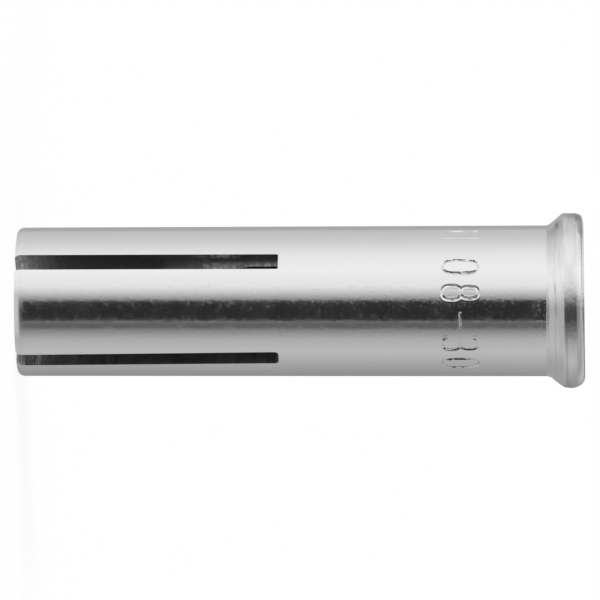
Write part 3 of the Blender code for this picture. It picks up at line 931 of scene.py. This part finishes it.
# Flats of the lip and patches of painted shade and painted dark reflection on it: their angle above the
# front in degrees, height above the neck, length round the lip, width along the axis, depth, and how dark
# the painted shade is
LIP_DENTS = (
    (80.0, 1.42 * MM, 0.9 * MM, 0.5 * MM, 0.012 * MM, 0.6),
    (70.0, 1.7 * MM, 0.45 * MM, 0.17 * MM, 0.01 * MM, 1.6),
    (58.5, 1.77 * MM, 0.5 * MM, 0.16 * MM, 0.01 * MM, 2.0),
    (46.0, 1.74 * MM, 1.2 * MM, 0.28 * MM, 0.0, 0.45),
    (63.0, 0.24 * MM, 0.25 * MM, 0.06 * MM, 0.01 * MM, 0.3),
    (66.0, 0.48 * MM, 0.42 * MM, 0.12 * MM, 0.022 * MM, 0.9),
    (8.0, 0.36 * MM, 0.3 * MM, 0.04 * MM, 0.006 * MM, 0.5),
    (-6.0, 0.38 * MM, 0.45 * MM, 0.07 * MM, 0.0, 0.4),
    (-9.0, -0.04 * MM, 1.0 * MM, 0.07 * MM, 0.0, 0.8),
    (-74.0, 1.1 * MM, 1.2 * MM, 0.06 * MM, 0.006 * MM, 0.3),
    (-90.0, 0.8 * MM, 2.4 * MM, 0.22 * MM, 0.04 * MM, 0.0),
    (-90.0, 1.64 * MM, 3.0 * MM, 0.28 * MM, 0.1 * MM, 0.0),
    (90.0, 1.84 * MM, 3.0 * MM, 0.12 * MM, -0.1 * MM, 0.0),
    (-9.0, 1.9 * MM, 0.95 * MM, 0.06 * MM, 0.0, 1.0),
    (151.0, 0.45 * MM, 0.3 * MM, 0.2 * MM, 0.025 * MM, 0.3),
    (228.0, 0.9 * MM, 0.25 * MM, 0.16 * MM, 0.02 * MM, 0.3),
)


def groove(distance, half_width, depth):
    """How deep a soft-sided groove is, at a distance from its middle."""
    return depth * math.exp(-(distance / half_width) ** 2)


def portion(value):
    """A value kept between none and all."""
    return max(0.0, min(1.0, value))


def upset_lip(mesh, sizes):
    """Leaves the lip as the header did: a little out of square, with die lines and shallow flats.

    Its attribute says how much painted shade and painted dark reflection darken each place.
    """
    foot = sizes.length - sizes.rim_height
    neck = foot - sizes.flare_height
    inside_wall = sizes.body_diameter / 2 - 0.6 * MM
    die_line, fold_line = neck + 0.36 * MM, foot + 0.16 * MM
    # The die line and the fold are real grooves, and each also gets painted shade in its colour
    crease_width, crease_depth, crease_painted_shade = 0.05 * MM, 0.006 * MM, 0.08
    fold_width, fold_depth, fold_painted_shade = 0.06 * MM, 0.012 * MM, 0.34
    waviness = 0.012 * MM
    dull = mesh.attributes.new("dull", "FLOAT", "POINT")
    for vert in mesh.vertices:
        x, y, z = vert.co
        radius = math.hypot(x, y)
        # The lean grows from nothing over one height of the flare below the neck
        share = min(1.0, 1.0 + (z - neck) / sizes.flare_height)
        if share <= 0:
            continue
        raised = portion((z - foot) / sizes.rim_height)
        vert.co.z += sizes.face_lean * (share * x / (sizes.lip_diameter / 2) - raised)
        if radius < inside_wall:
            continue
        turn = math.atan2(y, x)
        up = math.pi * 1.5 - turn % TAU
        # Three slow waves and seven smaller ones round the lip, between none and all of the waviness
        waves = 0.5 + 0.3 * math.sin(3 * turn + 0.8) + 0.2 * math.sin(7 * turn + 2.0)
        inward = waviness * waves * portion((z - neck) / sizes.flare_height)
        crease = groove(z - die_line, crease_width, 1.0)
        fold = groove(z - fold_line, fold_width, 1.0) * portion(-2.0 * math.sin(up))
        inward += crease_depth * crease + fold_depth * fold
        # Painted shade in the die line and in the fold
        painted_darkening = crease_painted_shade * crease + fold_painted_shade * fold
        for degrees, height, long, wide, depth, painted_dark in LIP_DENTS:
            along = (z - neck - height) / wide
            round_lip = (up - math.radians(degrees) + math.pi) % TAU - math.pi
            away = math.hypot(round_lip * radius / long, along)
            inward += groove(away, 1.0, depth)
            # Painted shade and painted dark reflection on the patches
            painted_darkening += groove(away, 1.0, painted_dark)
        dull.data[vert.index].value = min(1.0, painted_darkening)
        vert.co.x, vert.co.y = x * (1 - inward / radius), y * (1 - inward / radius)


# Faces round the plug, up its cone, and along the roundings of its nose and of its rear edge
PLUG_COLUMNS = 128
CONE_ROWS = 8
NOSE_STEPS = 6
REAR_STEPS = 5


class ANCHOR_OT_plug(bpy.types.Operator):
    """Build the cone plug inside the sleeve"""

    bl_idname = "anchor.plug"
    bl_label = "Cone Plug"

    def execute(self, context):
        scene = context.scene
        sizes = scene.plug_sizes
        rear = PLUG_BOX[1][2]
        radius, nose = sizes.diameter / 2, sizes.nose / 2
        shank, tip = (radius, rear - sizes.shank), (nose, rear - sizes.length)
        rows = [(0.0, tip[1])]
        rows += rounded((0.0, tip[1]), tip, shank, sizes.nose_round, sizes.nose_round, NOSE_STEPS)
        cone = [partway(tip, shank, i / CONE_ROWS) for i in range(1, CONE_ROWS + 1)]
        rows += [row for row in cone if row[1] > rows[-1][1]]
        rows += rounded(shank, (radius, rear), (0.0, rear), sizes.rear_round, sizes.rear_round, REAR_STEPS)
        rows += [(0.0, rear)]
        plug = turned_piece("cone_plug", rows)
        plug.data.materials.append(plug_steel(scene.anchor_finishes))
        keep(plug, "plug", "expander_plug")
        return {"FINISHED"}


def turned_piece(name, rows):
    """A turned solid from its profile, from the foot of the axis up to the top of it."""
    shape = bmesh.new()
    angles = [TAU * i / PLUG_COLUMNS for i in range(PLUG_COLUMNS)]
    rings = []
    for radius, height in rows:
        turns = angles if radius else [0.0]
        rings.append([shape.verts.new((radius * math.cos(a), radius * math.sin(a), height)) for a in turns])
    for lower, upper in zip(rings, rings[1:]):
        for i in range(PLUG_COLUMNS):
            on = (i + 1) % PLUG_COLUMNS
            below = [lower[i % len(lower)], lower[on % len(lower)]]
            above = [upper[on % len(upper)], upper[i % len(upper)]]
            shape.faces.new(list(dict.fromkeys(below + above))).smooth = True
    piece = piece_from(name, shape)
    piece.data.set_sharp_from_angle(angle=math.radians(35))
    return piece


DEGREES_PER_FACE = 3
# Radius of the sleeve as a mirror of the cards
MIRROR_RADIUS = 3.95 * MM
# Light of the cards: the angle above the front in degrees, and the level there
TENT = (
    (-180.0, 0.28), (-168.0, 0.3), (-160.0, 0.34), (-150.0, 0.34), (-112.0, 0.49), (-84.0, 0.64),
    (-61.0, 0.54), (-46.0, 0.30), (-15.0, 0.34), (5.0, 0.42), (12.0, 0.68), (22.0, 1.0), (50.0, 1.12),
    (80.0, 1.0), (107.0, 0.77), (140.0, 0.64), (146.0, 0.47), (160.0, 0.45), (168.0, 0.47), (180.0, 0.48),
)
CROWN = (
    (-180.0, 0.28), (-173.0, 0.17), (-168.0, 0.7), (-150.0, 0.6), (-130.0, 0.45), (-100.0, 0.45),
    (-62.0, 0.5), (-45.0, 0.3), (-10.0, 0.24), (3.0, 0.5), (14.0, 0.9), (30.0, 1.15), (125.0, 1.25),
    (142.0, 1.2), (149.0, 0.6), (154.0, 0.4), (161.0, 0.45), (167.0, 1.05), (172.0, 1.15), (180.0, 0.9),
)
BOUNCE = (
    (-180.0, 0.8), (-165.0, 0.42), (-122.0, 0.44), (-100.0, 0.48), (-68.0, 0.63), (-36.0, 0.56),
    (-12.0, 0.53), (-3.0, 0.62), (5.0, 0.82), (13.0, 0.94), (30.0, 1.08), (45.0, 1.06), (60.0, 0.98),
    (75.0, 0.86), (91.0, 0.74), (117.0, 0.48), (135.0, 0.54), (165.0, 0.5), (180.0, 0.8),
)
# Levels of the black flag, the grey flag and the roof
BLACK, GREY, ROOF = 0.026, 0.13, 0.5
# Where the two flags start and end, in the same degrees
BLACK_FLAG, GREY_FLAG = (-30.6, 2.0), (-43.3, -32.6)


def card_light(name, levels, near_levels=None, near=None):
    """The light of a card, which changes with the angle round the upright axis.

    Close to the sleeve its pattern bends, so that the sleeve shows it as straight bands. Between the two
    radii in near, its light passes from near_levels to levels.
    """
    material, add = blank_material(name)
    place = add("ShaderNodeTexCoord").outputs["Object"]
    x, y, _ = add("ShaderNodeSeparateXYZ", None, place).outputs
    flat = add("ShaderNodeCombineXYZ", None, x, y)
    reach = add(VECTOR_MATH, {"operation": "LENGTH"}, flat).outputs["Value"]
    back = [add(MATH, MULTIPLY, part, -1.0) for part in (x, y)]
    up = seen = add(MATH, {"operation": "ARCTAN2"}, *back)
    # Each round comes nearer to the angle at which a far camera sees this point in the sleeve
    for _ in range(3):
        sine = add(MATH, {"operation": "SINE"}, add(MATH, MULTIPLY, seen, 0.5))
        bend = add(MATH, DIVIDE, add(MATH, MULTIPLY, sine, MIRROR_RADIUS), reach)
        seen = add(MATH, ADD, up, add(MATH, {"operation": "ARCSINE"}, bend))
    share = add(MATH, MULTIPLY_ADD, seen, 1 / TAU, 0.5)
    ramps = []
    for stops_wanted in filter(None, (near_levels, levels)):
        ramp = add("ShaderNodeValToRGB", None, share)
        stops = ramp.color_ramp.elements
        for degrees, _ in stops_wanted[1:-1]:
            stops.new(degrees / 360 + 0.5)
        for stop, (_, level) in zip(stops, stops_wanted):
            stop.color = (level, level, level, 1.0)
        ramps.append(ramp.outputs[0])
    colour = ramps[0]
    if near_levels:
        far = add(MAP_RANGE, SOFTLY, reach, *near, 0.0, 1.0)
        mixed = add("ShaderNodeMix", TO_COLOUR, Factor_Float=far, A_Color=ramps[0], B_Color=ramps[1])
        colour = mixed.outputs[2]
    add("ShaderNodeOutputMaterial", None, add("ShaderNodeEmission", None, colour, 1.0))
    return material


def even_light(name, level):
    """The light of a card that is the same all over."""
    return card_light(name, ((-180.0, level), (180.0, level)))


def curved_card(name, profile, material, start=-180.0, end=180.0):
    """A card turned round the axis between two angles above the front, seen in reflections only."""
    steps = max(4, int(abs(end - start) / DEGREES_PER_FACE))
    shape = bmesh.new()
    rows = []
    for i in range(steps + 1):
        turn = math.radians(270 - start - (end - start) * i / steps)
        rows.append([shape.verts.new((r * math.cos(turn), r * math.sin(turn), z)) for r, z in profile])
    for row, after in zip(rows, rows[1:]):
        for i in range(len(profile) - 1):
            shape.faces.new((row[i], row[i + 1], after[i + 1], after[i]))
    card = piece_from(name, shape)
    card.data.materials.append(material)
    for ray in ("camera", "diffuse", "transmission", "volume_scatter", "shadow"):
        setattr(card, "visible_" + ray, False)


def flagged_tent():
    """The tent's levels with the two flags in front of them."""
    stops = [stop for stop in TENT if not GREY_FLAG[0] - 1 <= stop[0] <= BLACK_FLAG[1] + 1]
    soft = 0.3
    for (start, end), level in ((GREY_FLAG, GREY), (BLACK_FLAG, BLACK)):
        before, after = (start - soft, tent_level(start)), (end + soft, tent_level(end))
        stops += [before, (start, level), (end, level), after]
    return sorted(stops)


def tent_level(degrees):
    """The tent's light at an angle."""
    for (a, low), (b, high) in zip(TENT, TENT[1:]):
        if a <= degrees <= b:
            return low + (high - low) * (degrees - a) / (b - a)


def in_picture(add):
    """One for a ray that shows in the picture, straight, mirrored or through glass, and zero for others."""
    path = add("ShaderNodeLightPath").outputs
    seen = add(MATH, MAXIMUM, path["Is Camera Ray"], path["Is Glossy Ray"])
    return add(MATH, MAXIMUM, seen, path["Is Transmission Ray"])


class ANCHOR_OT_stage(bpy.types.Operator):
    """Set up the floor, the lights and the camera"""

    bl_idname = "anchor.stage"
    bl_label = "Stage"

    def execute(self, context):
        scene = context.scene
        scene.view_settings.view_transform = "Standard"
        self.floor()
        self.sky(scene)
        self.cards()
        self.lamp("key_softbox", (-0.6, -0.35, 1.0), 0.75)
        self.lamp("fill_softbox", (0.9, -0.6, 1.0), 0.3)
        self.camera(scene)
        return {"FINISHED"}

    def cards(self):
        """A gradient tent, two flags that give the sleeve its dark bands, and two cards close to it."""
        reach, wall_top, crown_top, roof_edge, roof = 0.32, 0.11, 0.36, 0.06, 0.5
        curved_card("light_tent", [(reach, 0.0), (reach, wall_top)], card_light("gradient_tent_light", TENT))
        slope = [(reach, wall_top), (reach, crown_top), (roof_edge, roof)]
        curved_card("light_crown", slope, card_light("gradient_crown_light", CROWN))
        curved_card("light_roof", [(roof_edge, roof), (1.0 * MM, roof)], even_light("grey_roof_light", ROOF))
        flag_reach, flag_top = 0.3, 0.106
        flag = [(flag_reach, 0.0), (flag_reach, flag_top)]
        curved_card("black_flag", flag, even_light("black_flag_cloth", BLACK), *BLACK_FLAG)
        curved_card("grey_flag", flag, even_light("grey_flag_cloth", GREY), *GREY_FLAG)
        far = flagged_tent()
        # The paper next to the slotted end is brighter at the front than the tent
        front, bright = (-60, 20), 0.7
        skirt = [(at, max(level, bright) if front[0] < at < front[1] else level) for at, level in TENT]
        table = card_light("gradient_table_light", far, skirt, (MIRROR_RADIUS, 4.9 * MM))
        just_over = 0.01 * MM
        curved_card("light_table", [(3.0 * MM, just_over), (reach, just_over)], table)
        bounce = card_light("soft_bounce_light", far, BOUNCE, (5.5 * MM, 9.0 * MM))
        under_lip = SLEEVE_BOX[1][2] - 2.06 * MM
        curved_card("lip_bounce", [(4.05 * MM, under_lip), (12.0 * MM, under_lip)], bounce)

    def floor(self):
        """A white paper sweep: it shows as white, and a part of that white can be shaded."""
        bpy.ops.mesh.primitive_plane_add(size=4.0)
        floor = bpy.context.object
        floor.name = "paper_floor"
        material, add = blank_material("white_paper")
        glow = 0.85
        shader = add("ShaderNodeBsdfPrincipled", None, Base_Color=(*srgb("#747474"), 1.0), Roughness=0.9,
                     Specular_IOR_Level=0.0, Emission_Color=(1.0, 1.0, 1.0, 1.0),
                     Emission_Strength=add(MATH, MULTIPLY, in_picture(add), glow))
        add("ShaderNodeOutputMaterial", None, shader)
        floor.data.materials.append(material)

    def sky(self, scene):
        """White for the camera and in reflections, and an even soft light on everything else."""
        world = bpy.data.worlds.new("studio")
        scene.world = world
        world.use_nodes = True
        world.node_tree.nodes.clear()
        add = partial(node, world.node_tree)
        soft = 0.6
        strength = add(MATH, MULTIPLY_ADD, in_picture(add), 1.0 - soft, soft)
        add("ShaderNodeOutputWorld", None, add("ShaderNodeBackground", None, (1.0, 1.0, 1.0, 1.0), strength))

    def lamp(self, name, place, power):
        """A large soft light, so far off that it falls evenly, and kept out of reflections."""
        light = bpy.data.lights.new(name, "SUN")
        light.angle = math.radians(24)
        light.energy = power
        lamp = bpy.data.objects.new(name, light)
        lamp.location = place
        lamp.rotation_euler = (-Vector(place)).to_track_quat("-Z", "Y").to_euler()
        lamp.visible_glossy = False
        bpy.context.scene.collection.objects.link(lamp)

    def camera(self, scene):
        """The photograph's camera: on its side, level with the lip, and far enough to flatten the view."""
        distance, view_width, rise, roll = 0.43, 31.74 * MM, 1.93, 0.1
        data = bpy.data.cameras.new("photo_camera")
        data.sensor_width = 36.0
        data.lens = data.sensor_width * distance / view_width
        camera = bpy.data.objects.new("photo_camera", data)
        tilt = math.radians(rise)
        up, back = Vector((-1, 0, 0)), Vector((0, -math.cos(tilt), math.sin(tilt)))
        axes = Matrix((up.cross(back), up, back)).transposed() @ Matrix.Rotation(math.radians(-roll), 3, "Z")
        aim = Vector((-0.065 * MM, 0.0, 14.92 * MM))
        camera.matrix_world = Matrix.Translation(aim + back * distance) @ axes.to_4x4()
        scene.collection.objects.link(camera)
        scene.camera = camera


class ANCHOR_PT_panel(bpy.types.Panel):
    """Lists what the add-on builds"""

    bl_label = "Drop-in Anchor"
    bl_idname = "ANCHOR_PT_panel"
    bl_space_type = "VIEW_3D"
    bl_region_type = "UI"
    bl_category = "Anchor"

    def draw(self, context):
        layout = self.layout
        for operator in OPERATORS:
            layout.operator(operator.bl_idname)
        for name in PROPERTY_GROUPS:
            box = layout.box()
            group = getattr(context.scene, name)
            for prop in group.bl_rna.properties:
                if not prop.is_readonly and prop.identifier != "name":
                    box.prop(group, prop.identifier)


PROPERTY_GROUPS = {
    "sleeve_sizes": SleeveSizes,
    "thread_sizes": ThreadSizes,
    "mark_sizes": MarkSizes,
    "plug_sizes": PlugSizes,
    "anchor_finishes": Finishes,
}
OPERATORS = (ANCHOR_OT_sleeve, ANCHOR_OT_plug, ANCHOR_OT_stage)


def register():
    for group in PROPERTY_GROUPS.values():
        bpy.utils.register_class(group)
    for name, group in PROPERTY_GROUPS.items():
        setattr(bpy.types.Scene, name, bpy.props.PointerProperty(type=group))
    for kind in (*OPERATORS, ANCHOR_PT_panel):
        bpy.utils.register_class(kind)


def unregister():
    for kind in (ANCHOR_PT_panel, *reversed(OPERATORS)):
        bpy.utils.unregister_class(kind)
    for name, group in PROPERTY_GROUPS.items():
        delattr(bpy.types.Scene, name)
        bpy.utils.unregister_class(group)


def main():
    register()
    bpy.ops.anchor.sleeve()
    bpy.ops.anchor.plug()
    bpy.ops.anchor.stage()


if __name__ == "__main__":
    main()
